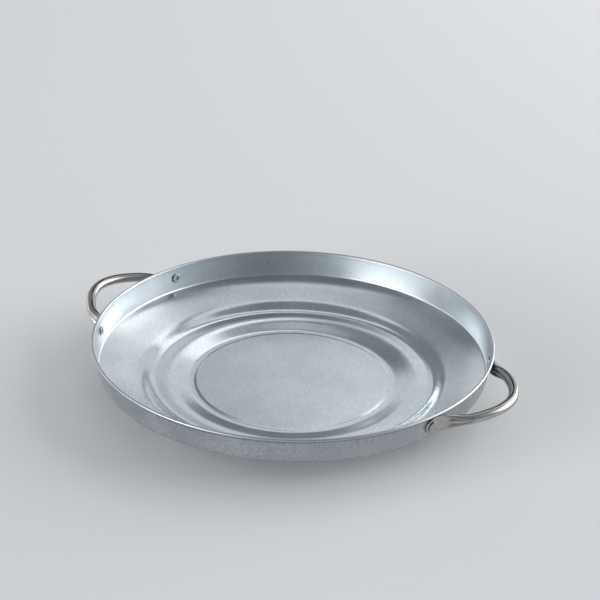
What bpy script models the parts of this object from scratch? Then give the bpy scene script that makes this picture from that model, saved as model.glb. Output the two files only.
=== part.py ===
"""Galvanised steel oil drain pan with two riveted handles.

The pan stands on the ground plane, z = 0, with its centre on the Z axis and its handles on the X axis.
Seven separate pieces: the pressed pan body, two handles bent from rolled channel, four tubular rivets.
"""

import bpy
import bmesh
from math import atan2, cos, pi, radians, sin, sqrt, tan
from mathutils import Matrix, Vector

MM = 0.001

# Pan body
SHEET = 0.8 * MM                # thickness of the pressed sheet
RIM_RADIUS = 225.0 * MM         # outside of the rolled rim
CURL_RADIUS = 1.7 * MM          # outside radius of the roll itself
RIM_HEIGHT = 55.9 * MM          # centre of the roll above the ground
CURL_FREE_END = radians(-105.0)  # where the rolled edge stops, just clear of the wall
PAN_STEPS = 56                  # flats round the pan

# Corners of the pan's inner surface from the foot of the wall to the middle: radius, height, fillet
FLOOR_CORNERS = (
    (217.8 * MM, 27.9 * MM, 2.8 * MM),   # foot of the wall
    (170.5 * MM, 13.4 * MM, 7.0 * MM),   # shoulder, where the sloping floor ends
    (158.2 * MM, 6.3 * MM, 5.0 * MM),    # bottom of the upper step
    (139.0 * MM, 6.3 * MM, 8.0 * MM),    # edge of the flat ledge, top of the lower step
    (117.5 * MM, 0.8 * MM, 5.0 * MM),    # bottom of the lower step, outer side of the foot ring
    (111.4 * MM, 0.8 * MM, 2.0 * MM),    # inner side of the foot ring
    (108.7 * MM, 1.5 * MM, 2.0 * MM),    # edge of the raised centre disc
)
FILLET_STEP = radians(16.0)     # turn of each chord in a fillet

# Rivets
RIVET_HEIGHT = 43.7 * MM        # rivet centres above the ground
RIVET_HALF_ANGLE = radians(21.3)  # from the handle's middle to each rivet, round the wall
HEAD_RADIUS = 6.2 * MM
HEAD_THICKNESS = 1.3 * MM
HEAD_CHAMFER = 0.4 * MM
SHANK_RADIUS = 3.2 * MM
TAIL_RADIUS = 5.2 * MM
TAIL_THICKNESS = 1.1 * MM
TAIL_BORE_RADIUS = 2.3 * MM
TAIL_BORE_DEPTH = 3.0 * MM
RIVET_STEPS = 16
DRILL_LENGTH = 9.0 * MM         # of the hole's cutter, half of it each side of the wall's inner surface

# Handles
TUBE_RADIUS = 5.8 * MM
TUBE_WALL = 1.0 * MM
SLIT_HALF_ANGLE = radians(10.0)  # half of the channel's open seam
SLIT_TURN = radians(90.0)       # place of that seam round the channel: 0 faces the pan, 90 degrees faces up
TAB_THICKNESS = 2.2 * MM
TAB_HALF_HEIGHT = 9.5 * MM
TAB_FACE_POWER = 0.35           # how square the tab's section is: 1 is an ellipse, 0 a rectangle
TAB_EDGE_POWER = 0.9
TAB_SEAM_HALF_ANGLE = radians(4.0)  # the closed-up seam left on the back of the tab
TAB_SEAM_DEPTH = 0.7 * MM
TAB_SEAM_TAPER = 0.8            # width of the seam's floor as a part of its mouth
TAB_SEAM_LIP = 0.35             # depth of the seam's corners as a part of its full depth
TAB_END_ANGLES = (0.0, 25.0, 45.0, 62.0, 75.0)  # sections round the tab's rounded end, degrees
TUBE_SPANS = 7                  # lengths the round channel is divided into, each side of the middle
PRESS_SPANS = 5                 # lengths between the round channel and the flat tab
BOW_BASE = 194.7 * MM           # the bow is BOW_BASE + BOW_DEPTH * cos(pi / 2 * y / BOW_HALF_WIDTH)
BOW_DEPTH = 65.9 * MM
BOW_HALF_WIDTH = 92.7 * MM
FLATTEN_START = 55.0 * MM       # distance from the handle's middle at which the tube starts to flatten
FLATTEN_END = 73.0 * MM
JOIN_START = 50.0 * MM          # distance at which the bow starts to bend in to the wall
JOIN_END = 76.0 * MM            # distance at which the handle follows the wall
HINGE_LINE = 213.75 * MM        # the handle's tilt starts here, measured from the pan's axis
HANDLE_TILTS = {"right": radians(5.0), "left": radians(12.6)}
SECTION_OUTER = 11              # points round the outside of the channel
SECTION_INNER = 9               # points round its inside

GAP = 0.3 * MM                  # clearance between pieces that touch

# Finishes
SHEET_COLOUR = (0.60, 0.64, 0.67)
SHEET_ROUGHNESS = 0.34
HANDLE_COLOUR = (0.56, 0.54, 0.51)
HANDLE_ROUGHNESS = 0.30
RIVET_COLOUR = (0.62, 0.63, 0.65)
RIVET_ROUGHNESS = 0.28

# Derived places
ROLL_CENTRE = RIM_RADIUS - CURL_RADIUS
WALL_FOOT_RADIUS, WALL_FOOT_HEIGHT, _ = FLOOR_CORNERS[0]
WALL_FLARE = atan2(ROLL_CENTRE - CURL_RADIUS - WALL_FOOT_RADIUS, RIM_HEIGHT - WALL_FOOT_HEIGHT)


def wall_inner_radius(height):
    """Radius of the wall's inner surface at a height."""
    return WALL_FOOT_RADIUS + (height - WALL_FOOT_HEIGHT) * tan(WALL_FLARE)


FACET_SAG = RIM_RADIUS * (1.0 - cos(pi / PAN_STEPS))  # how far the wall's flats cut inside its circle
TAB_BACK_RADIUS = wall_inner_radius(RIVET_HEIGHT) + SHEET / cos(WALL_FLARE) + GAP


def clear_scene():
    for item in list(bpy.data.objects):
        bpy.data.objects.remove(item, do_unlink=True)


def new_collection(name):
    collection = bpy.data.collections.new(name)
    bpy.context.scene.collection.children.link(collection)
    return collection


def metal(name, colour, roughness):
    """A Principled BSDF for a metal piece."""
    material = bpy.data.materials.new(name)
    material.use_nodes = True
    shader = material.node_tree.nodes["Principled BSDF"]
    shader.inputs["Base Color"].default_value = (*colour, 1.0)
    shader.inputs["Metallic"].default_value = 1.0
    shader.inputs["Roughness"].default_value = roughness
    return material


def mesh_object(name, bm, collection, material=None):
    mesh = bpy.data.meshes.new(name)
    bm.to_mesh(mesh)
    bm.free()
    piece = bpy.data.objects.new(name, mesh)
    collection.objects.link(piece)
    if material:
        mesh.materials.append(material)
    return piece


def profile_object(name, points, collection, material):
    """An object holding one open chain of (radius, height) points, ready for a Screw modifier."""
    bm = bmesh.new()
    verts = [bm.verts.new((radius, 0.0, height)) for radius, height in points]
    for first, second in zip(verts, verts[1:]):
        bm.edges.new((first, second))
    return mesh_object(name, bm, collection, material)


def add_screw(piece, steps):
    screw = piece.modifiers.new("turn", "SCREW")
    screw.axis = "Z"
    screw.angle = 2.0 * pi
    screw.steps = steps
    screw.render_steps = steps
    screw.use_merge_vertices = True
    screw.merge_threshold = 0.00001
    screw.use_smooth_shade = True
    return screw


def add_cut(piece, cutter):
    cut = piece.modifiers.new("cut_" + cutter.name, "BOOLEAN")
    cut.operation = "DIFFERENCE"
    cut.solver = "EXACT"
    cut.object = cutter


def arc(centre, radius, start, end, count):
    """Points on an arc, both ends included."""
    angles = [start + (end - start) * i / count for i in range(count + 1)]
    return [(centre[0] + radius * cos(a), centre[1] + radius * sin(a)) for a in angles]


def filleted(corner, before, after, radius):
    """The points that round one corner of an outline."""
    here = Vector(corner)
    to_before = (Vector(before) - here).normalized()
    to_after = (Vector(after) - here).normalized()
    turn = pi - to_before.angle(to_after)
    reach = radius * tan(turn / 2.0)
    start = here + to_before * reach
    end = here + to_after * reach
    centre = here + (to_before + to_after).normalized() * radius / cos(turn / 2.0)
    count = max(1, round(turn / FILLET_STEP))
    from_centre = start - centre
    swing = from_centre.angle_signed(end - centre)
    points = []
    for i in range(count + 1):
        offset = Matrix.Rotation(-swing * i / count, 2) @ from_centre
        points.append(tuple(centre + offset))
    return points


def pan_profile():
    """Inner surface of the pan, from the free edge of the rolled rim to the centre of the floor."""
    roll = (ROLL_CENTRE, RIM_HEIGHT)
    points = arc(roll, CURL_RADIUS, CURL_FREE_END, 0.0, 3)
    points += arc(roll, CURL_RADIUS, 0.0, pi / 2.0, 3)[1:]
    points += arc(roll, CURL_RADIUS, pi / 2.0, pi - WALL_FLARE, 3)[1:]
    corners = [corner[:2] for corner in FLOOR_CORNERS] + [(0.0, FLOOR_CORNERS[-1][1])]
    before = points[-1]
    for corner, after, (_, _, fillet) in zip(corners, corners[1:], FLOOR_CORNERS):
        points += filleted(corner, before, after, fillet)
        before = corner
    points.append(corners[-1])
    return points


def make_pan_body(collection, material):
    body = profile_object("pan_body", pan_profile(), collection, material)
    add_screw(body, PAN_STEPS)
    shell = body.modifiers.new("sheet", "SOLIDIFY")
    shell.thickness = SHEET
    shell.offset = 1.0
    shell.use_even_offset = True
    return body


def rivet_frame(side, angle):
    """Matrix of a rivet: local +Z points out of the wall, the origin is on the wall's inner surface."""
    azimuth = angle if side == "right" else pi + angle
    radius = wall_inner_radius(RIVET_HEIGHT)
    place = Vector((radius * cos(azimuth), radius * sin(azimuth), RIVET_HEIGHT))
    turn = Matrix.Rotation(azimuth, 4, "Z") @ Matrix.Rotation(pi / 2.0 + WALL_FLARE, 4, "Y")
    return Matrix.Translation(place) @ turn


def rivet_profile():
    """Turned outline of a set rivet, from the middle of its head down to the bottom of its bore."""
    head_seat = SHEET + GAP + TAB_THICKNESS + GAP
    head_top = head_seat + HEAD_THICKNESS
    tail_seat = -(FACET_SAG + GAP)
    tail_end = tail_seat - TAIL_THICKNESS
    return [
        (0.0, head_top),
        (HEAD_RADIUS - HEAD_CHAMFER, head_top),
        (HEAD_RADIUS, head_top - HEAD_CHAMFER),
        (HEAD_RADIUS, head_seat),
        (SHANK_RADIUS, head_seat),
        (SHANK_RADIUS, tail_seat),
        (TAIL_RADIUS, tail_seat),
        (TAIL_RADIUS, tail_end + HEAD_CHAMFER),
        (TAIL_RADIUS - HEAD_CHAMFER, tail_end),
        (TAIL_BORE_RADIUS, tail_end),
        (TAIL_BORE_RADIUS, tail_end + TAIL_BORE_DEPTH),
        (0.0, tail_end + TAIL_BORE_DEPTH),
    ]


def make_rivet(name, frame, collection, material):
    rivet = profile_object(name, rivet_profile(), collection, material)
    rivet.matrix_world = frame
    add_screw(rivet, RIVET_STEPS)
    return rivet


def make_rivet_cutter(name, frame, collection):
    """A drill through the wall and the handle's tab, with clearance for the rivet's shank."""
    radius = SHANK_RADIUS + GAP
    bm = bmesh.new()
    bmesh.ops.create_cone(
        bm, cap_ends=True, segments=RIVET_STEPS, radius1=radius, radius2=radius, depth=DRILL_LENGTH)
    cutter = mesh_object(name, bm, collection)
    cutter.matrix_world = frame
    cutter.hide_render = True
    cutter.display_type = "WIRE"
    return cutter


def smoothstep(value):
    value = min(1.0, max(0.0, value))
    return value * value * (3.0 - 2.0 * value)


def blend(first, second, factor):
    return first + (second - first) * factor


def flatness(y):
    """0 where the handle is a round channel, 1 where it is a flat tab."""
    return smoothstep((abs(y) - FLATTEN_START) / (FLATTEN_END - FLATTEN_START))


def handle_centre(y, tilt):
    """Middle of the handle's section at the distance y from its plane of symmetry."""
    flat = flatness(y)
    bow = BOW_BASE + BOW_DEPTH * cos(pi / 2.0 * y / BOW_HALF_WIDTH)
    tab_radius = TAB_BACK_RADIUS + TAB_THICKNESS / 2.0
    tab = sqrt(tab_radius ** 2 - y ** 2)
    x = blend(bow, tab, smoothstep((abs(y) - JOIN_START) / (JOIN_END - JOIN_START)))
    z = RIVET_HEIGHT + (1.0 - flat) * (x - HINGE_LINE) * tan(tilt)
    return Vector((x, y, z))


def tab_half_height(y):
    """Half the tab's height, which falls to nothing round its free end."""
    rivet_y = TAB_BACK_RADIUS * sin(RIVET_HALF_ANGLE)
    beyond = max(0.0, (abs(y) - rivet_y) / cos(RIVET_HALF_ANGLE))
    return sqrt(max(0.0, TAB_HALF_HEIGHT ** 2 - beyond ** 2))


def signed_power(value, power):
    return abs(value) ** power * (1.0 if value >= 0.0 else -1.0)


def channel_section(y):
    """Outline of the handle at y as (outward, upward) offsets, round the outside and back inside."""
    flat = flatness(y)
    seam = blend(SLIT_HALF_ANGLE, TAB_SEAM_HALF_ANGLE, flat)
    turn = SLIT_TURN * (1.0 - flat)
    half_height = tab_half_height(y)
    outline = []
    for i in range(SECTION_OUTER):
        a = seam + (2.0 * pi - 2.0 * seam) * i / (SECTION_OUTER - 1)
        tube = (-TUBE_RADIUS * cos(a + turn), TUBE_RADIUS * sin(a + turn))
        tab = (
            -TAB_THICKNESS / 2.0 * signed_power(cos(a), TAB_FACE_POWER),
            half_height * signed_power(sin(a), TAB_EDGE_POWER),
        )
        outline.append((blend(tube[0], tab[0], flat), blend(tube[1], tab[1], flat)))
    bore = TUBE_RADIUS - TUBE_WALL
    seam_half_width = abs(outline[0][1])
    for i in range(SECTION_INNER):
        along = i / (SECTION_INNER - 1)
        a = 2.0 * pi - seam - (2.0 * pi - 2.0 * seam) * along
        tube = (-bore * cos(a + turn), bore * sin(a + turn))
        depth = TAB_SEAM_DEPTH * blend(TAB_SEAM_LIP, 1.0, sin(pi * along))
        tab = (
            depth - TAB_THICKNESS / 2.0,
            -TAB_SEAM_TAPER * seam_half_width * cos(pi * along),
        )
        outline.append((blend(tube[0], tab[0], flat), blend(tube[1], tab[1], flat)))
    return outline


def handle_stations():
    """Distances from the handle's middle at which its section is set out, on one side."""
    tube = [FLATTEN_START * i / TUBE_SPANS for i in range(TUBE_SPANS + 1)]
    press = [blend(FLATTEN_START, FLATTEN_END, (i + 1) / PRESS_SPANS) for i in range(PRESS_SPANS)]
    rivet_y = TAB_BACK_RADIUS * sin(RIVET_HALF_ANGLE)
    reach = TAB_HALF_HEIGHT * cos(RIVET_HALF_ANGLE)
    tab = [rivet_y + reach * sin(radians(a)) for a in TAB_END_ANGLES]
    return tube + press + tab


def make_handle(name, side, collection, material):
    """Loft the handle from unlike sections: round channel in the bow, flat plate at both tabs."""
    tilt = HANDLE_TILTS[side]
    half = handle_stations()
    stations = [-y for y in reversed(half[1:])] + half
    step = 0.1 * MM
    bm = bmesh.new()
    rings = []
    for y in stations:
        centre = handle_centre(y, tilt)
        tangent = (handle_centre(y + step, tilt) - handle_centre(y - step, tilt)).normalized()
        lean = blend(tilt, -WALL_FLARE, flatness(y))
        azimuth = atan2(centre.y, centre.x)
        up = Vector((-sin(lean) * cos(azimuth), -sin(lean) * sin(azimuth), cos(lean)))
        outward = tangent.cross(up).normalized()
        up = outward.cross(tangent).normalized()
        ring = [bm.verts.new(centre + outward * o + up * u) for o, u in channel_section(y)]
        rings.append(ring)
    for first, second in zip(rings, rings[1:]):
        count = len(first)
        for i in range(count):
            j = (i + 1) % count
            bm.faces.new((first[i], second[i], second[j], first[j]))
    bm.faces.new(rings[0])
    bm.faces.new(list(reversed(rings[-1])))
    bmesh.ops.recalc_face_normals(bm, faces=bm.faces)
    if side == "left":
        bmesh.ops.rotate(bm, verts=bm.verts, cent=(0.0, 0.0, 0.0), matrix=Matrix.Rotation(pi, 3, "Z"))
    handle = mesh_object(name, bm, collection, material)
    handle.data.shade_smooth()
    handle.data.set_sharp_from_angle(angle=radians(35.0))
    return handle


def main():
    clear_scene()
    pan = new_collection("oil_drain_pan")
    tools = new_collection("cutters")
    body = make_pan_body(pan, metal("galvanised_sheet", SHEET_COLOUR, SHEET_ROUGHNESS))
    for side in ("right", "left"):
        handle_steel = metal("handle_steel_" + side, HANDLE_COLOUR, HANDLE_ROUGHNESS)
        handle = make_handle("handle_" + side, side, pan, handle_steel)
        for end, sign in (("a", -1.0), ("b", 1.0)):
            frame = rivet_frame(side, sign * RIVET_HALF_ANGLE)
            label = side + "_" + end
            rivet_steel = metal("rivet_steel_" + label, RIVET_COLOUR, RIVET_ROUGHNESS)
            make_rivet("rivet_" + label, frame, pan, rivet_steel)
            cutter = make_rivet_cutter("drill_" + label, frame, tools)
            add_cut(body, cutter)
            add_cut(handle, cutter)


main()
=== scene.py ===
"""Looks of the oil drain pan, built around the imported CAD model, in metres and in the CAD's frame."""
from math import atan2, ceil, cos, hypot, pi, radians, sin, sqrt, tan

import bpy
import numpy as np
from mathutils import Matrix, Vector


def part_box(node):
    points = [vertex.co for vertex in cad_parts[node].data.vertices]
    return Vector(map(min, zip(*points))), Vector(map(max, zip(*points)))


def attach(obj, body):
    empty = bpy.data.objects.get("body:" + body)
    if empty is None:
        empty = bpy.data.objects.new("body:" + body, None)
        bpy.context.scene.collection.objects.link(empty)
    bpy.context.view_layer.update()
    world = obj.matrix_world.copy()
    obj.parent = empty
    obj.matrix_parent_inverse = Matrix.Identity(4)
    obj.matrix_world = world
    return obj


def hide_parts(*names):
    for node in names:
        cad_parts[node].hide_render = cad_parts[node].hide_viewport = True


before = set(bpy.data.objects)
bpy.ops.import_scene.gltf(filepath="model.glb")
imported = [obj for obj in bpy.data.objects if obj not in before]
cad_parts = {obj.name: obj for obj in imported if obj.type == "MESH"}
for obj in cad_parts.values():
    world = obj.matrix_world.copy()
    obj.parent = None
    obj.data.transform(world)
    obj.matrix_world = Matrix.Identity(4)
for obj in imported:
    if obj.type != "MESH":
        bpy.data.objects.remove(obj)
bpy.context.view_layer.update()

MM = 0.001
PAN_LOW, PAN_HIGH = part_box("pan_body")

# ---------------------------------------------------------------- sizes
# Pan body, turned about Z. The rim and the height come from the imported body.
RIM_RADIUS = (PAN_HIGH.x - PAN_LOW.x) / 2.0
CURL_RADIUS = 1.7 * MM
ROLL_CENTRE = RIM_RADIUS - CURL_RADIUS
RIM_HEIGHT = PAN_HIGH.z - CURL_RADIUS    # height of the roll's middle
SHEET = 0.8 * MM
CURL_FREE_END = radians(-105.0)  # 0 points outward, and the sheet curls over the top and down to here
# corners of the inner surface, from the foot of the wall to the middle: radius, height, fillet radius
FLOOR_CORNERS = (
    (217.8 * MM, 27.9 * MM, 2.8 * MM),
    (170.5 * MM, 13.4 * MM, 36.0 * MM),
    (158.2 * MM, 6.3 * MM, 20.0 * MM),
    (139.0 * MM, 6.3 * MM, 55.0 * MM),
    (117.5 * MM, 0.8 * MM, 26.0 * MM),
    (111.4 * MM, 0.8 * MM, 3.0 * MM),
    (108.7 * MM, 1.5 * MM, 3.0 * MM),
)
FOOT_RADIUS, FOOT_HEIGHT, _ = FLOOR_CORNERS[0]
WALL_FLARE = atan2(ROLL_CENTRE - CURL_RADIUS - FOOT_RADIUS, RIM_HEIGHT - FOOT_HEIGHT)
PAN_STEPS = 360
LONGEST_CHORD = 2.6 * MM
FILLET_CHORDS = 10
ROLL_CHORDS = 26
HUB_RADIUS = 0.5 * MM            # the last ring of points before the middle
WAVE_HEIGHT = 0.05 * MM
WAVE_COUNT = 14
WAVE_SEED = 5
WAVE_LENGTHS = (55.0 * MM, 170.0 * MM)
DIMPLE_DEPTH = 0.25 * MM         # the sheet bulges out round each rivet
DIMPLE_REACH = 9.0 * MM
# The sheet stays true, without waves, near the rolled rim, the foot of the wall and the foot ring.
RING_INNER, RING_OUTER = FLOOR_CORNERS[6][0], FLOOR_CORNERS[4][0]
RIM_FADE = (RIM_HEIGHT - 12.0 * MM, RIM_HEIGHT - 3.0 * MM)
FOOT_FADE = 12.0 * MM
FOOT_FADE_SHIFT = 2.0 * MM       # measured from this far inside the foot
RING_FADE = 14.0 * MM
# The press has burnished the steps and the outermost part of the slope. Radii where each mark begins or ends.
STEPS_BEGIN = (RING_INNER - 3.0 * MM, RING_INNER + 2.0 * MM)
STEPS_END = (FLOOR_CORNERS[1][0] - 1.0 * MM, FLOOR_CORNERS[1][0] + 7.0 * MM)
SLOPE_POLISH = (FOOT_RADIUS - 30.0 * MM, FOOT_RADIUS - 10.0 * MM)
POLISH_END = (FOOT_RADIUS - 2.0 * MM, FOOT_RADIUS)
WALL_BEGIN = (FOOT_RADIUS - 5.0 * MM, FOOT_RADIUS)
# The rolled rim, and the underside of it where shade and some dirt are painted: heights, and depths below the
# roll's middle.
ROLL_BEGIN = (RIM_HEIGHT - 2.0 * CURL_RADIUS, RIM_HEIGHT - CURL_RADIUS)
HEM_DEPTHS = (0.2 * CURL_RADIUS, 0.8 * CURL_RADIUS)
HEM_REACH = 0.5 * CURL_RADIUS    # inward from the roll's middle

# Rivets
RIVET_HEIGHT = 43.7 * MM
RIVET_HALF_ANGLE = radians(21.3)
HEAD_RADIUS = 6.2 * MM
HEAD_THICKNESS = 1.3 * MM
SHANK_RADIUS = 3.2 * MM
TAIL_RADIUS = 5.2 * MM
TAIL_THICKNESS = 1.1 * MM
BORE_RADIUS = 2.3 * MM
BORE_DEPTH = 3.0 * MM
RIVET_STEPS = 64
TAIL_STANDOFF = 0.35 * MM        # how far the clinched tail stands off the sheet, past the gap
DOME_HEIGHT = 0.12 * MM
HEAD_EDGE_RADIUS = 0.45 * MM

# Handles
TUBE_RADIUS = 5.5 * MM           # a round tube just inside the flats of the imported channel
TUBE_WALL = 1.0 * MM
SLIT_HALF_ANGLE = radians(10.0)
SLIT_TURN = radians(90.0)        # place of the slit round the channel: 0 faces the pan, 90 degrees faces up
TAB_THICKNESS = 2.2 * MM
TAB_HALF_HEIGHT = 9.5 * MM
TAB_FACE_POWER = 0.35            # below 1 squares the section off
TAB_EDGE_POWER = 0.9
TAB_SEAM_HALF_ANGLE = radians(4.0)
TAB_SEAM_DEPTH = 0.5 * MM
TAB_SEAM_LIP = 0.35              # depth of the seam's corners as a part of its full depth
TAB_SEAM_NARROWING = 0.8         # width of the seam's floor as a part of its mouth
BOW_BASE = 194.7 * MM            # the bow is BOW_BASE + BOW_DEPTH * cos(pi / 2 * y / BOW_HALF_WIDTH)
BOW_DEPTH = 65.9 * MM
BOW_HALF_WIDTH = 92.7 * MM
FLATTEN_START = 55.0 * MM        # where the round channel starts to flatten
FLATTEN_END = 73.0 * MM
HEIGHT_LEAD = 4.0 * MM           # how much sooner its height starts to grow
JOIN_START = 50.0 * MM           # where the bow starts to bend in to the wall
JOIN_END = 76.0 * MM             # where the handle follows the wall
HINGE_LINE = 213.75 * MM         # the handle's tilt starts here, measured from the pan's axis
HANDLE_TILTS = {"right": radians(5.0), "left": radians(12.6)}
OUTER_POINTS = 61
INNER_POINTS = 41
TANGENT_STEP = 0.1 * MM          # half the stretch of path that gives its direction
TUBE_STATIONS = 34
PRESS_STATIONS = 34
TAB_END_ANGLES = (8, 16, 24, 32, 40, 48, 55, 62, 68, 74, 79, 83, 86, 88)  # round the free end, degrees
CREASE_EDGE = 7.0 * MM           # from the rivet to where the tab's edges start to curl
CREASE_POINT = 21.0 * MM         # from the rivet to the point of the V that the flat runs out in
CREASE_LENGTH = 11.0 * MM        # length of the change from flat to round

GAP = 0.3 * MM                   # clearance between pieces that touch
SHARP_ANGLE = radians(40.0)      # steeper edges are drawn sharp


def wall_radius(height):
    """Inner radius of the flared wall."""
    return FOOT_RADIUS + (height - FOOT_HEIGHT) * tan(WALL_FLARE)


TAB_BACK_RADIUS = wall_radius(RIVET_HEIGHT) + SHEET / cos(WALL_FLARE) + GAP
RIVET_Y = TAB_BACK_RADIUS * sin(RIVET_HALF_ANGLE)


# ---------------------------------------------------------------- mesh helpers
def mix(first, second, factor):
    """first at a factor of 0, second at 1."""
    return first + (second - first) * factor


def smoothstep(value, low, high):
    """0 up to low, 1 from high on, and smooth between."""
    value = np.clip((value - low) / (high - low), 0.0, 1.0)
    return value * value * (3.0 - 2.0 * value)


def arc(centre, radius, start, end, count):
    """Points of a circular arc, count chords long."""
    turns = np.linspace(start, end, count + 1)
    return [(centre[0] + radius * cos(a), centre[1] + radius * sin(a)) for a in turns]


def fillet(corner, before, after, radius):
    """Points rounding a corner of an outline with a circular arc."""
    here = Vector(corner)
    back = (Vector(before) - here).normalized()
    ahead = (Vector(after) - here).normalized()
    half_turn = (pi - back.angle(ahead)) / 2.0
    reach = radius * tan(half_turn)
    centre = here + (back + ahead).normalized() * radius / cos(half_turn)
    spoke = here + back * reach - centre
    swing = spoke.angle_signed(here + ahead * reach - centre)
    turns = [Matrix.Rotation(-swing * i / FILLET_CHORDS, 2) for i in range(FILLET_CHORDS + 1)]
    return [tuple(centre + turn @ spoke) for turn in turns]


def resample(points, longest):
    """Split the long stretches of an outline so that no chord is longer than longest."""
    out = [points[0]]
    for a, b in zip(points, points[1:]):
        parts = max(1, ceil(hypot(b[0] - a[0], b[1] - a[1]) / longest))
        out += [(mix(a[0], b[0], i / parts), mix(a[1], b[1], i / parts)) for i in range(1, parts + 1)]
    return out


def outline_normals(points):
    """Unit normals of an outline, to the left of its direction of travel."""
    points = np.array(points)
    along = np.gradient(points, axis=0)
    along /= np.linalg.norm(along, axis=1)[:, None]
    return np.stack([-along[:, 1], along[:, 0]], axis=1)


def grid_faces(rows, columns):
    """Quads of a grid of vertices numbered row by row, where each row closes on itself."""
    faces = []
    for i in range(rows - 1):
        here, below = i * columns, (i + 1) * columns
        for k in range(columns):
            beside = (k + 1) % columns
            faces.append((here + k, below + k, below + beside, here + beside))
    return faces


def fan_faces(start, hub, columns, order):
    """Triangles from a closed row of vertices to a hub. An order of -1 turns them over."""
    return [(start + k, hub, start + (k + 1) % columns)[::order] for k in range(columns)]


def new_object(name, verts, faces, materials):
    """A smooth mesh piece that rides on the pan's one body."""
    mesh = bpy.data.meshes.new(name)
    mesh.from_pydata([tuple(v) for v in verts], [], faces)
    for material in materials:
        mesh.materials.append(material)
    mesh.shade_smooth()
    mesh.set_sharp_from_angle(angle=SHARP_ANGLE)
    mesh.update()
    piece = bpy.data.objects.new(name, mesh)
    bpy.context.scene.collection.objects.link(piece)
    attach(piece, "root")
    return piece


def add_uv(piece, places):
    """UV coordinates in metres, one pair a vertex, so that textures have their real size."""
    layer = piece.data.uv_layers.new(name="sheet")
    corners = np.empty(len(piece.data.loops), dtype=np.int32)
    piece.data.loops.foreach_get("vertex_index", corners)
    layer.data.foreach_set("uv", np.asarray(places, dtype=np.float32)[corners].ravel())


def add_values(piece, name, values):
    """One number a vertex, for a material to read by name."""
    layer = piece.data.attributes.new(name, "FLOAT", "POINT")
    layer.data.foreach_set("value", np.asarray(values, dtype=np.float32))


# ---------------------------------------------------------------- materials
class Material:
    """Short calls for building a node material around one Principled BSDF."""

    def __init__(self, name):
        self.made = bpy.data.materials.new(name)
        self.made.use_nodes = True
        self.tree = self.made.node_tree
        self.shader = self.tree.nodes["Principled BSDF"]
        self.shader.inputs["Metallic"].default_value = 1.0

    def feed(self, socket, value):
        if isinstance(value, bpy.types.NodeSocket):
            self.tree.links.new(value, socket)
        elif isinstance(value, tuple) and len(value) == 3 and socket.type == "RGBA":
            socket.default_value = (*value, 1.0)
        else:
            socket.default_value = value

    def add(self, kind, inputs, **settings):
        made = self.tree.nodes.new("ShaderNode" + kind)
        for key, value in settings.items():
            setattr(made, key, value)
        for key, value in inputs.items():
            self.feed(made.inputs[key], value)
        return made

    def uv(self):
        return self.add("UVMap", {}, uv_map="sheet").outputs["UV"]

    def turn_and_height(self):
        """The angle round the pan's axis and the height."""
        place = self.add("TexCoord", {}).outputs["Object"]
        parts = self.add("SeparateXYZ", {"Vector": place}).outputs
        return self.math("ARCTAN2", parts["Y"], parts["X"]), parts["Z"]

    def wrap(self):
        """The distance round the wall and the height as a vector, and the height by itself."""
        turn, height = self.turn_and_height()
        both = self.add("CombineXYZ", {"X": self.math("MULTIPLY", turn, RIM_RADIUS), "Y": height})
        return both.outputs["Vector"], height

    def values(self, name):
        return self.add("Attribute", {}, attribute_name=name).outputs["Fac"]

    def mapping(self, vector, scale, turn=0.0):
        """The vector turned about Z first, then stretched."""
        turned = self.add("Mapping", {"Vector": vector, "Rotation": (0.0, 0.0, turn)})
        stretched = self.add("Mapping", {"Vector": turned.outputs["Vector"], "Scale": scale})
        return stretched.outputs["Vector"]

    def noise(self, vector, scale, detail, roughness):
        made = self.add(
            "TexNoise", {"Vector": vector, "Scale": scale, "Detail": detail, "Roughness": roughness})
        return made.outputs["Fac"]

    def math(self, operation, a, b=0.0):
        made = self.add("Math", {}, operation=operation)
        self.feed(made.inputs[0], a)
        self.feed(made.inputs[1], b)
        return made.outputs["Value"]

    def span(self, value, low, high, to_low=0.0, to_high=1.0):
        """value's range low..high spread smoothly over to_low..to_high, and held there beyond it."""
        made = self.add("MapRange", {
            "Value": value, "From Min": low, "From Max": high, "To Min": to_low, "To Max": to_high},
            interpolation_type="SMOOTHSTEP")
        return made.outputs["Result"]

    def blend(self, factor, first, second):
        """first at a factor of 0, second at 1."""
        made = self.add("Mix", {}, data_type="RGBA")
        self.feed(made.inputs["Factor"], factor)
        self.feed(made.inputs[6], first)
        self.feed(made.inputs[7], second)
        return made.outputs[2]

    def specks(self, vector, cell, radius, share):
        """1 inside small round spots, one in each of a share of the cells of a random net."""
        made = self.add("TexVoronoi", {"Vector": vector, "Scale": 1.0 / cell}, feature="F1")
        chosen = self.add("SeparateColor", {"Color": made.outputs["Color"]}).outputs["Red"]
        here = self.math("LESS_THAN", chosen, share)
        spot = self.span(made.outputs["Distance"], 0.4 * radius / cell, radius / cell, 1.0, 0.0)
        return self.math("MULTIPLY", spot, here)

    def finish(self, colour, roughness, bumps):
        """Set the shader's inputs. bumps are (height, distance, strength), applied one after another."""
        self.feed(self.shader.inputs["Base Color"], colour)
        self.feed(self.shader.inputs["Roughness"], roughness)
        normal = None
        for height, distance, strength in bumps:
            made = self.add("Bump", {"Height": height, "Distance": distance, "Strength": strength})
            if normal:
                self.feed(made.inputs["Normal"], normal)
            normal = made.outputs["Normal"]
        self.feed(self.shader.inputs["Normal"], normal)
        return self.made


# Colours are linear. The stretch of a grain is in waves a metre, along it and across it.
GRAIN_TURN = radians(37.5)       # turns the rolling direction of the blank onto X
GRAIN = (60.0, 1500.0, 1.0)
BROAD_GRAIN = (90.0, 620.0, 1.0)
HEM_SHADE_AND_GRIME = (0.13, 0.15, 0.175)  # painted shade, with some dirt, on the underside of the rolled rim and just below it
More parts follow.
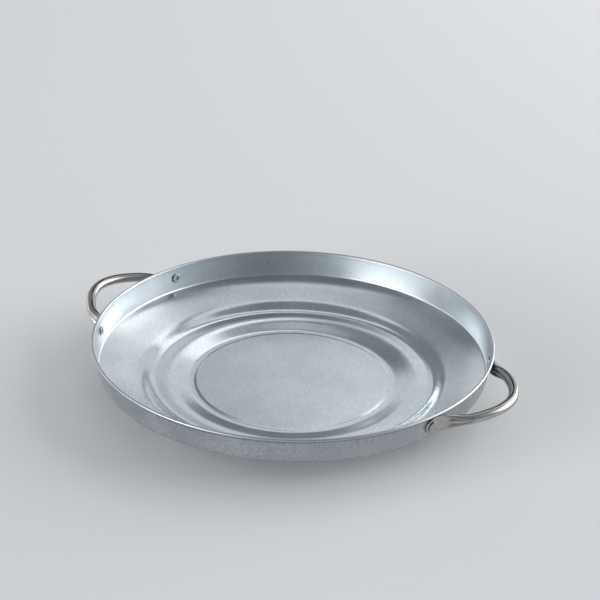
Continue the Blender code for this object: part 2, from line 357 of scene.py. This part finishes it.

# Inside of the sheet
INSIDE_DARK = (0.606, 0.653, 0.679)
INSIDE_LIGHT = (0.678, 0.716, 0.734)
INSIDE_GRAIN = (0.465, 0.510, 0.540)
INSIDE_SPECK = (0.20, 0.225, 0.24)
INSIDE_SPECKS = (6.5 * MM, 0.95 * MM, 0.45)    # cell, radius, share of the cells
ROLL_COLOUR = (0.42, 0.44, 0.455)
FLAT_ROUGHNESS = (0.24, 0.32)
BURNISHED_ROUGHNESS = (0.15, 0.20)
WALL_DRAG = 0.05                 # how much rougher the die leaves the wall than the floor
ROLL_DRAG = 0.08                 # and the rolled rim than the wall
RIBS = 800.0                     # ribs across the rolled rim, in a full turn

# Outside of the sheet
OUTSIDE_DARK = (0.42, 0.45, 0.475)
OUTSIDE_LIGHT = (0.62, 0.653, 0.68)
OUTSIDE_CLOUD = (0.36, 0.38, 0.40)
OUTSIDE_SCUFF = (0.17, 0.18, 0.19)
OUTSIDE_SPECK = (0.12, 0.13, 0.135)
OUTSIDE_SPECKS = (7.0 * MM, 1.0 * MM, 0.35)
OUTSIDE_ROUGHNESS = (0.38, 0.52)
SCUFF_HEIGHTS = (RIM_HEIGHT - 24.0 * MM, RIM_HEIGHT - 6.0 * MM)   # none below, most above
HEM_HEIGHTS = (RIM_HEIGHT - 4.6 * MM, RIM_HEIGHT - 3.0 * MM)

# Handles
BRUSHING = (25.0, 2200.0, 1.0)
HANDLE_DARK = (0.42, 0.41, 0.39)
HANDLE_LIGHT = (0.52, 0.505, 0.485)
HANDLE_SPECK = (0.30, 0.29, 0.275)
HANDLE_SPECKS = (9.0 * MM, 0.7 * MM, 0.4)
HANDLE_ROUGHNESS = (0.24, 0.31)

# Rivets
RIVET_DARK = (0.38, 0.395, 0.41)
RIVET_LIGHT = (0.50, 0.515, 0.53)
BORE_SHADE = (0.03, 0.03, 0.032)
RIVET_ROUGHNESS = (0.24, 0.36)
TURNING_MARKS = 9000.0           # radians a metre of radius


def inner_sheet():
    """Bright rolled zinc: straight grain, burnished where the press drew it, a few pin marks."""
    m = Material("zinc_inside")
    uv = m.uv()
    burnish = m.values("burnish")
    roll = m.values("roll")
    fine = m.noise(m.mapping(uv, GRAIN, GRAIN_TURN), 1.0, 3.0, 0.6)
    broad = m.noise(m.mapping(uv, BROAD_GRAIN, GRAIN_TURN), 1.0, 3.0, 0.6)
    cloud = m.noise(uv, 16.0, 4.0, 0.55)
    specks = m.specks(uv, *INSIDE_SPECKS)
    colour = m.blend(m.span(cloud, 0.35, 0.65), INSIDE_DARK, INSIDE_LIGHT)
    colour = m.blend(m.span(broad, 0.42, 0.72, 0.0, 0.38), colour, INSIDE_GRAIN)
    colour = m.blend(m.math("MULTIPLY", specks, 0.85), colour, INSIDE_SPECK)
    colour = m.blend(m.math("MULTIPLY", roll, 0.5), colour, ROLL_COLOUR)
    # painted shade, with some dirt, darkens the underside of the rolled rim
    colour = m.blend(m.math("MULTIPLY", m.values("hem"), 0.8), colour, HEM_SHADE_AND_GRIME)
    flat_rough = m.span(fine, 0.25, 0.75, *FLAT_ROUGHNESS)
    bright_rough = m.span(cloud, 0.3, 0.7, *BURNISHED_ROUGHNESS)
    change = m.math("MULTIPLY", burnish, m.math("SUBTRACT", bright_rough, flat_rough))
    drag = m.math("MULTIPLY", m.values("wall"), WALL_DRAG)
    wear = m.math("MULTIPLY", roll, ROLL_DRAG)
    roughness = m.math("ADD", m.math("ADD", flat_rough, change), m.math("ADD", drag, wear))
    around, _ = m.turn_and_height()
    ribs = m.math("MULTIPLY", m.math("SINE", m.math("MULTIPLY", around, RIBS)), roll)
    unpolished = m.math("SUBTRACT", 1.0, m.math("MULTIPLY", burnish, 0.8))
    return m.finish(colour, roughness, (
        (m.math("MULTIPLY", broad, unpolished), 0.02 * MM, 0.25),
        (fine, 0.006 * MM, 0.4),
        (ribs, 0.03 * MM, 0.6),
    ))


def outer_sheet():
    """The outside of the same sheet, duller: handling marks, mottled zinc, scuffs below the rim."""
    m = Material("zinc_outside")
    uv = m.uv()
    fine = m.noise(m.mapping(uv, GRAIN, GRAIN_TURN), 1.0, 3.0, 0.6)
    mottle = m.noise(uv, 260.0, 5.0, 0.7)
    cloud = m.noise(uv, 14.0, 3.0, 0.5)
    specks = m.specks(uv, *OUTSIDE_SPECKS)
    wrap, height = m.wrap()
    drawn = m.noise(m.mapping(wrap, (900.0, 25.0, 1.0)), 1.0, 4.0, 0.65)
    patches = m.noise(m.mapping(wrap, (28.0, 60.0, 1.0)), 1.0, 2.0, 0.5)
    scuffed = m.math("MULTIPLY", m.span(height, *SCUFF_HEIGHTS), m.span(patches, 0.38, 0.56))
    scuffs = m.math("MULTIPLY", m.span(drawn, 0.46, 0.60), scuffed)
    # painted shade, with some dirt, darkens a band just below the rolled rim
    hem = m.span(height, *HEM_HEIGHTS)
    colour = m.blend(m.span(mottle, 0.3, 0.7), OUTSIDE_DARK, OUTSIDE_LIGHT)
    colour = m.blend(m.span(cloud, 0.35, 0.65, 0.0, 0.45), colour, OUTSIDE_CLOUD)
    colour = m.blend(m.math("MULTIPLY", scuffs, 0.45), colour, OUTSIDE_SCUFF)
    colour = m.blend(m.math("MULTIPLY", hem, 0.7), colour, HEM_SHADE_AND_GRIME)
    colour = m.blend(m.math("MULTIPLY", specks, 0.8), colour, OUTSIDE_SPECK)
    roughness = m.span(mottle, 0.3, 0.7, *OUTSIDE_ROUGHNESS)
    return m.finish(colour, roughness, (
        (mottle, 0.03 * MM, 0.6),
        (drawn, 0.01 * MM, 0.5),
        (fine, 0.008 * MM, 0.5),
    ))


def handle_steel():
    """Warm grey strip steel, brushed along the handle."""
    m = Material("handle_steel")
    uv = m.uv()
    lines = m.noise(m.mapping(uv, BRUSHING), 1.0, 3.0, 0.6)
    cloud = m.noise(uv, 60.0, 3.0, 0.5)
    specks = m.specks(uv, *HANDLE_SPECKS)
    colour = m.blend(m.span(cloud, 0.3, 0.7), HANDLE_DARK, HANDLE_LIGHT)
    colour = m.blend(m.math("MULTIPLY", specks, 0.3), colour, HANDLE_SPECK)
    roughness = m.span(lines, 0.25, 0.75, *HANDLE_ROUGHNESS)
    return m.finish(colour, roughness, ((lines, 0.008 * MM, 0.3), (cloud, 0.02 * MM, 0.2)))


def rivet_steel():
    """Bright plated rivet with turning marks, a little wear and painted shade in its bore."""
    m = Material("rivet_steel")
    uv = m.uv()
    radius = m.add("VectorMath", {0: uv}, operation="LENGTH").outputs["Value"]
    marks = m.math("SINE", m.math("MULTIPLY", radius, TURNING_MARKS))
    cloud = m.noise(uv, 300.0, 3.0, 0.5)
    colour = m.blend(m.span(cloud, 0.3, 0.7), RIVET_DARK, RIVET_LIGHT)
    # painted shade: the bore is coloured near black
    colour = m.blend(m.values("bore"), colour, BORE_SHADE)
    roughness = m.span(cloud, 0.3, 0.7, *RIVET_ROUGHNESS)
    return m.finish(colour, roughness, ((marks, 0.004 * MM, 0.3), (cloud, 0.02 * MM, 0.5)))


# ---------------------------------------------------------------- pan body
def pan_outline():
    """Fine outline of the sheet's inner face, from the rolled edge round the rim to the middle."""
    roll = (ROLL_CENTRE, RIM_HEIGHT)
    points = arc(roll, CURL_RADIUS, CURL_FREE_END, pi - WALL_FLARE, ROLL_CHORDS)
    corners = [corner[:2] for corner in FLOOR_CORNERS] + [(0.0, FLOOR_CORNERS[-1][1])]
    before = points[-1]
    for corner, after, (_, _, radius) in zip(corners, corners[1:], FLOOR_CORNERS):
        points += fillet(corner, before, after, radius)
        before = corner
    points.append((HUB_RADIUS, corners[-1][1]))
    return resample(points, LONGEST_CHORD)


def ripple(x, y):
    """Slight unevenness of pressed sheet: a sum of random waves, about -1 to 1."""
    random = np.random.default_rng(WAVE_SEED)
    total = np.zeros_like(x)
    for _ in range(WAVE_COUNT):
        length = random.uniform(*WAVE_LENGTHS)
        heading = random.uniform(0.0, 2.0 * pi)
        phase = random.uniform(0.0, 2.0 * pi)
        total += np.sin(2.0 * pi / length * (x * cos(heading) + y * sin(heading)) + phase)
    return total / 4.0


def rivet_frame(side, angle):
    """Matrix of a rivet: local +Z points out of the wall, the origin is on the wall's inner surface."""
    azimuth = angle if side == "right" else pi + angle
    radius = wall_radius(RIVET_HEIGHT)
    place = Vector((radius * cos(azimuth), radius * sin(azimuth), RIVET_HEIGHT))
    turn = Matrix.Rotation(azimuth, 4, "Z") @ Matrix.Rotation(pi / 2.0 + WALL_FLARE, 4, "Y")
    return Matrix.Translation(place) @ turn


RIVETS = {
    f"rivet_{side}_{end}": rivet_frame(side, sign * RIVET_HALF_ANGLE)
    for side in ("right", "left")
    for end, sign in (("a", -1.0), ("b", 1.0))
}


def sheet_lift(outline, blank, c, s):
    """How far the sheet stands off its turned shape: waves in its free stretches, dimples at the rivets."""
    radius, height = outline[:, :1], outline[:, 1:]
    below_rim = 1.0 - smoothstep(height, *RIM_FADE)
    from_foot = np.abs(radius - FOOT_RADIUS + FOOT_FADE_SHIFT)
    from_ring = np.maximum(radius - RING_OUTER, RING_INNER - radius)
    free = below_rim * smoothstep(from_foot, 0.0, FOOT_FADE) * smoothstep(from_ring, 0.0, RING_FADE)
    lift = WAVE_HEIGHT * ripple(blank * c, blank * s) * free
    for rivet in RIVETS.values():
        place = rivet.translation
        away = np.sqrt((radius * c - place.x) ** 2 + (radius * s - place.y) ** 2 + (height - place.z) ** 2)
        lift += DIMPLE_DEPTH * np.exp(-(away / DIMPLE_REACH) ** 2) * below_rim
    return lift


def sheet_faces(rows, middle):
    """Faces of the sheet. Its inner face ends at the row middle, and two hub points follow the last row."""
    faces = [face for face in grid_faces(rows, PAN_STEPS) if face[0] // PAN_STEPS != middle]
    last = (rows - 1) * PAN_STEPS
    hub = rows * PAN_STEPS
    for k in range(PAN_STEPS):
        beside = (k + 1) % PAN_STEPS
        faces.append((last + k, k, beside, last + beside))
    faces += fan_faces(middle * PAN_STEPS, hub, PAN_STEPS, 1)
    faces += fan_faces((middle + 1) * PAN_STEPS, hub + 1, PAN_STEPS, -1)
    return faces


def sheet_marks(outline):
    """Where the press and use have changed the surface, and where shade is painted under the roll, from 0 to
    1 at each point of the outline.
    """
    radius, height = outline[:, 0], outline[:, 1]
    steps = smoothstep(radius, *STEPS_BEGIN) * (1.0 - smoothstep(radius, *STEPS_END))
    polished = np.maximum(steps, smoothstep(radius, *SLOPE_POLISH))
    under_roll = smoothstep(RIM_HEIGHT - height, *HEM_DEPTHS)
    return {
        "burnish": polished * (1.0 - smoothstep(radius, *POLISH_END)),
        "wall": smoothstep(radius, *WALL_BEGIN),
        "hem": np.where(radius > ROLL_CENTRE - HEM_REACH, under_roll, 0.0),
        "roll": smoothstep(height, *ROLL_BEGIN),
    }


def make_pan():
    """The pressed sheet: the rows of its inner face first, then those of its outer face, then two hubs."""
    inner = pan_outline()
    middle = len(inner) - 1
    normals = outline_normals(inner)
    outer = [(r + n[0] * SHEET, z + n[1] * SHEET) for (r, z), n in zip(inner, normals)]
    outline = np.array(inner + outer[::-1])
    sideways = np.concatenate([normals, normals[::-1]])
    steps = np.diff(np.array(inner), axis=0)
    travelled = np.concatenate([[0.0], np.cumsum(np.hypot(steps[:, 0], steps[:, 1]))])
    blank = travelled[-1] - travelled
    blank = np.concatenate([blank, blank[::-1]])[:, None]

    turns = np.linspace(0.0, 2.0 * pi, PAN_STEPS, endpoint=False)
    c, s = np.cos(turns), np.sin(turns)
    lift = sheet_lift(outline, blank, c, s)
    radius = outline[:, :1] + sideways[:, :1] * lift
    height = outline[:, 1:] + sideways[:, 1:] * lift
    verts = list(np.stack([radius * c, radius * s, height], axis=-1).reshape(-1, 3))
    verts += [(0.0, 0.0, outline[row][1]) for row in (middle, middle + 1)]
    faces = sheet_faces(len(outline), middle)
    materials = [inner_sheet(), outer_sheet()]
    piece = new_object("pan_body_sheet", verts, faces, materials)
    places = np.stack([blank * c, blank * s], axis=-1).reshape(-1, 2)
    add_uv(piece, np.concatenate([places, np.zeros((2, 2))]))
    for name, values in sheet_marks(outline).items():
        add_values(piece, name, np.append(np.repeat(values, PAN_STEPS), [0.0, 0.0]))
    outside = (middle + 1) * PAN_STEPS
    sides = [int(polygon.vertices[0] >= outside) for polygon in piece.data.polygons]
    piece.data.polygons.foreach_set("material_index", sides)
    piece.data.update()
    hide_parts("pan_body")


# ---------------------------------------------------------------- handles
def flatness(y):
    """0 where the handle is a round channel, 1 where it is a flat tab."""
    return smoothstep(abs(y), FLATTEN_START, FLATTEN_END)


def handle_centre(y, tilt):
    """Middle of the handle's section at the distance y from its plane of symmetry."""
    flat = flatness(y)
    bow = BOW_BASE + BOW_DEPTH * cos(pi / 2.0 * y / BOW_HALF_WIDTH)
    tab_radius = TAB_BACK_RADIUS + TAB_THICKNESS / 2.0
    x = mix(bow, sqrt(tab_radius ** 2 - y ** 2), smoothstep(abs(y), JOIN_START, JOIN_END))
    return Vector((x, y, RIVET_HEIGHT + (1.0 - flat) * (x - HINGE_LINE) * tan(tilt)))


def tab_half_height(y):
    """Half the tab's height, which falls to nothing round its free end."""
    beyond = max(0.0, (abs(y) - RIVET_Y) / cos(RIVET_HALF_ANGLE))
    return sqrt(max(0.0, TAB_HALF_HEIGHT ** 2 - beyond ** 2))


def signed_power(value, power):
    """A power that keeps the sign, to square off or round an outline."""
    return np.abs(value) ** power * np.sign(value)


def pressed(y, rise):
    """How flat a strip of the section is: the flat of the tab runs out in a V along the channel."""
    from_rivet = RIVET_Y - abs(y)
    begin = mix(CREASE_POINT, CREASE_EDGE, np.abs(rise))
    return 1.0 - smoothstep(from_rivet, begin, begin + CREASE_LENGTH)


def channel_section(y):
    """Outline of the handle at y as (outward, upward) offsets, round the outside and back inside."""
    flat = flatness(y)
    seam = mix(SLIT_HALF_ANGLE, TAB_SEAM_HALF_ANGLE, flat)
    shift = SLIT_TURN * (1.0 - flat)
    growth = smoothstep(abs(y), FLATTEN_START - HEIGHT_LEAD, FLATTEN_END)
    half_height = mix(TUBE_RADIUS, tab_half_height(y), growth)
    a = np.linspace(seam, 2.0 * pi - seam, OUTER_POINTS) + shift
    rise = np.sin(a)
    strip = pressed(y, rise)
    tube_out = -TUBE_RADIUS * np.cos(a)
    tab_out = -TAB_THICKNESS / 2.0 * signed_power(np.cos(a), TAB_FACE_POWER)
    edge = mix(rise, signed_power(rise, TAB_EDGE_POWER), flat)
    outside = np.stack([mix(tube_out, tab_out, strip), half_height * edge], axis=1)
    bore = TUBE_RADIUS - TUBE_WALL
    along = np.linspace(0.0, 1.0, INNER_POINTS)
    b = mix(2.0 * pi - seam, seam, along) + shift
    rise = np.sin(b)
    strip = np.maximum(flat, pressed(y, rise) * flat)
    tube_in = np.stack([-bore * np.cos(b), bore * rise], axis=1)
    seam_half_width = tab_half_height(y) * sin(TAB_SEAM_HALF_ANGLE) ** TAB_EDGE_POWER
    lip = mix(TAB_SEAM_LIP, 1.0, np.sin(pi * along))
    tab_in = np.stack([TAB_SEAM_DEPTH * lip - TAB_THICKNESS / 2.0,
                       -TAB_SEAM_NARROWING * seam_half_width * np.cos(pi * along)], axis=1)
    inside = mix(tube_in, tab_in, strip[:, None])
    return np.concatenate([outside, inside])


def handle_stations():
    """Places of the sections, from the handle's middle to the end of one tab."""
    tube = list(np.linspace(0.0, FLATTEN_START, TUBE_STATIONS))
    press = list(np.linspace(FLATTEN_START, RIVET_Y, PRESS_STATIONS)[1:])
    reach = TAB_HALF_HEIGHT * cos(RIVET_HALF_ANGLE)
    end = [RIVET_Y + reach * sin(radians(angle)) for angle in TAB_END_ANGLES]
    return tube + press + end


def make_handle(side, material):
    """Loft from round channel in the bow to flat plate at both tabs."""
    tilt = HANDLE_TILTS[side]
    half = handle_stations()
    stations = [-y for y in reversed(half[1:])] + half
    verts = []
    places = []
    walked = 0.0
    last = None
    for y in stations:
        centre = handle_centre(y, tilt)
        ahead, behind = handle_centre(y + TANGENT_STEP, tilt), handle_centre(y - TANGENT_STEP, tilt)
        tangent = (ahead - behind).normalized()
        lean = mix(tilt, -WALL_FLARE, float(flatness(y)))
        azimuth = atan2(centre.y, centre.x)
        up = Vector((-sin(lean) * cos(azimuth), -sin(lean) * sin(azimuth), cos(lean)))
        outward = tangent.cross(up).normalized()
        up = outward.cross(tangent).normalized()
        section = channel_section(y)
        walked += (centre - last).length if last else 0.0
        last = centre
        verts += [centre + outward * float(o) + up * float(u) for o, u in section]
        count = len(section)
        around = 2.0 * pi * TUBE_RADIUS / count
        places += [(walked, k * around) for k in range(count)]
    if side == "left":
        verts = [Vector((-v.x, -v.y, v.z)) for v in verts]
    faces = grid_faces(len(stations), count)
    faces.append(tuple(range(count))[::-1])
    faces.append(tuple(range((len(stations) - 1) * count, len(stations) * count)))
    faces = [face[::-1] for face in faces]
    piece = new_object("handle_" + side + "_channel", verts, faces, [material])
    add_uv(piece, places)
    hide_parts("handle_" + side)


# ---------------------------------------------------------------- rivets
def rivet_profile():
    """Turned outline of a set rivet, from the middle of its head down to the bottom of its bore."""
    seat = SHEET + GAP + TAB_THICKNESS + GAP
    top = seat + HEAD_THICKNESS
    tail_seat = -GAP - TAIL_STANDOFF
    tail_end = tail_seat - TAIL_THICKNESS
    edge = HEAD_EDGE_RADIUS
    lip = TAIL_THICKNESS / 2.0
    return (
        [(0.0, top), (HEAD_RADIUS * 0.5, top - DOME_HEIGHT * 0.3)]
        + arc((HEAD_RADIUS - edge, top - edge - DOME_HEIGHT), edge, pi / 2.0, 0.0, 6)
        + [(HEAD_RADIUS, seat), (SHANK_RADIUS, seat), (SHANK_RADIUS, tail_seat)]
        + arc((TAIL_RADIUS - lip, tail_seat - lip), lip, pi / 2.0, -pi / 2.0, 10)
        + arc((BORE_RADIUS + lip, tail_end + lip), lip, -pi / 2.0, -pi, 6)
        + [(BORE_RADIUS, tail_end + BORE_DEPTH), (0.0, tail_end + BORE_DEPTH)]
    )


def make_rivet(name, material):
    """One set rivet, turned about its own axis and then put in its place."""
    profile = rivet_profile()
    turns = np.linspace(0.0, 2.0 * pi, RIVET_STEPS, endpoint=False)
    ring = profile[1:-1]
    verts = [Vector((r * cos(a), r * sin(a), z)) for r, z in ring for a in turns]
    faces = grid_faces(len(ring), RIVET_STEPS)
    for (_, z), row, order in ((profile[0], 0, -1), (profile[-1], len(ring) - 1, 1)):
        verts.append(Vector((0.0, 0.0, z)))
        faces += fan_faces(row * RIVET_STEPS, len(verts) - 1, RIVET_STEPS, order)
    places = [(v.x, v.y) for v in verts]
    in_bore = [0.0] * ((len(ring) - 1) * RIVET_STEPS) + [1.0] * RIVET_STEPS + [0.0, 1.0]
    matrix = RIVETS[name]
    piece = new_object(name + "_set", [matrix @ v for v in verts], faces, [material])
    add_uv(piece, places)
    add_values(piece, "bore", in_bore)
    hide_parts(name)


# ---------------------------------------------------------------- studio
VIEW_TURN = Matrix.Rotation(radians(27.5), 4, "Z")      # the camera stands this far round the pan
VIEW_ELEVATION = radians(26.61)
VIEW_ROLL = radians(1.45)
VIEW_DISTANCE = 1.8
AIM_RIGHT = 7.52 * MM
AIM_UP = 40.37 * MM
LENS = 96.37
SENSOR_WIDTH = 36.0


def make_camera():
    """The camera, aimed near the middle of the rim's plane, shifted sideways and rolled a little."""
    side = Vector((1.0, 0.0, 0.0))
    up = Vector((0.0, sin(VIEW_ELEVATION), cos(VIEW_ELEVATION)))
    back = Vector((0.0, -cos(VIEW_ELEVATION), sin(VIEW_ELEVATION)))
    right = side * cos(VIEW_ROLL) + up * sin(VIEW_ROLL)
    over = up * cos(VIEW_ROLL) - side * sin(VIEW_ROLL)
    place = back * VIEW_DISTANCE + right * AIM_RIGHT + over * AIM_UP
    stand = Matrix.Translation((0.0, 0.0, RIM_HEIGHT)) @ VIEW_TURN @ Matrix.Translation(place)
    facing = Matrix((right, over, back)).transposed().to_4x4()
    data = bpy.data.cameras.new("camera")
    data.lens = LENS
    data.sensor_width = SENSOR_WIDTH
    camera = bpy.data.objects.new("camera", data)
    bpy.context.scene.collection.objects.link(camera)
    camera.matrix_world = Matrix.Translation(stand.translation) @ VIEW_TURN @ facing
    bpy.context.scene.camera = camera


FLOOR_COLOUR = (0.88, 0.88, 0.88)
ROOM_COLOUR = (0.24, 0.261, 0.286)
FLOOR_HALF = 40.0
FLOOR_ROUGHNESS = 0.9
FLOOR_SHINE = 0.1


def make_stage():
    """One plain pale floor, and a plain room round it."""
    corners = [(-FLOOR_HALF, -FLOOR_HALF, 0.0), (FLOOR_HALF, -FLOOR_HALF, 0.0),
               (FLOOR_HALF, FLOOR_HALF, 0.0), (-FLOOR_HALF, FLOOR_HALF, 0.0)]
    material = bpy.data.materials.new("pale_floor")
    material.use_nodes = True
    shader = material.node_tree.nodes["Principled BSDF"]
    shader.inputs["Base Color"].default_value = (*FLOOR_COLOUR, 1.0)
    shader.inputs["Roughness"].default_value = FLOOR_ROUGHNESS
    shader.inputs["Specular IOR Level"].default_value = FLOOR_SHINE
    mesh = bpy.data.meshes.new("floor")
    mesh.from_pydata(corners, [], [(0, 1, 2, 3)])
    mesh.materials.append(material)
    floor = bpy.data.objects.new("floor", mesh)
    bpy.context.scene.collection.objects.link(floor)
    world = bpy.data.worlds.new("studio")
    world.use_nodes = True
    world.node_tree.nodes["Background"].inputs["Color"].default_value = (*ROOM_COLOUR, 1.0)
    bpy.context.scene.world = world


def direction(azimuth, elevation):
    """Unit vector in the studio: azimuth from straight behind the pan to the right, both in degrees."""
    azimuth, elevation = radians(azimuth), radians(elevation)
    flat = cos(elevation)
    return VIEW_TURN @ Vector((sin(azimuth) * flat, cos(azimuth) * flat, sin(elevation)))


SOFTBOX_DISTANCE = 5.0
# azimuth and elevation of the middle, width and height in degrees of view, brightness
SOFTBOXES = {
    "softbox_top": (6.0, 62.0, 50.0, 14.0, 0.65),
    "softbox_back": (18.0, 41.0, 28.0, 12.0, 1.3),
    "softbox_back_low": (11.0, 25.0, 42.0, 16.0, 0.55),
    "softbox_right": (74.0, 27.0, 62.0, 34.0, 2.4),
    "strip_right": (66.0, 9.0, 60.0, 10.0, 7.0),
    "softbox_left": (-98.0, 26.0, 40.0, 22.0, 1.5),
    "strip_left": (-122.0, 11.0, 40.0, 14.0, 9.0),
    "strip_left_back": (-62.0, 9.0, 40.0, 12.0, 2.2),
}


def make_lights():
    """Soft rectangular lights round the pan, each facing it."""
    for name, (azimuth, elevation, wide, high, radiance) in SOFTBOXES.items():
        data = bpy.data.lights.new(name, "AREA")
        data.shape = "RECTANGLE"
        data.size = 2.0 * SOFTBOX_DISTANCE * tan(radians(wide / 2.0))
        data.size_y = 2.0 * SOFTBOX_DISTANCE * tan(radians(high / 2.0))
        data.energy = radiance * pi * data.size * data.size_y
        light = bpy.data.objects.new(name, data)
        bpy.context.scene.collection.objects.link(light)
        ray = direction(azimuth, elevation)
        facing = ray.to_track_quat("Z", "Y").to_matrix().to_4x4()
        light.matrix_world = Matrix.Translation(ray * SOFTBOX_DISTANCE) @ facing
        light.visible_camera = False


make_pan()
handle_material = handle_steel()
rivet_material = rivet_steel()
for side in HANDLE_TILTS:
    make_handle(side, handle_material)
for name in RIVETS:
    make_rivet(name, rivet_material)
make_camera()
make_stage()
make_lights()
bpy.context.scene.view_settings.view_transform = "Standard"
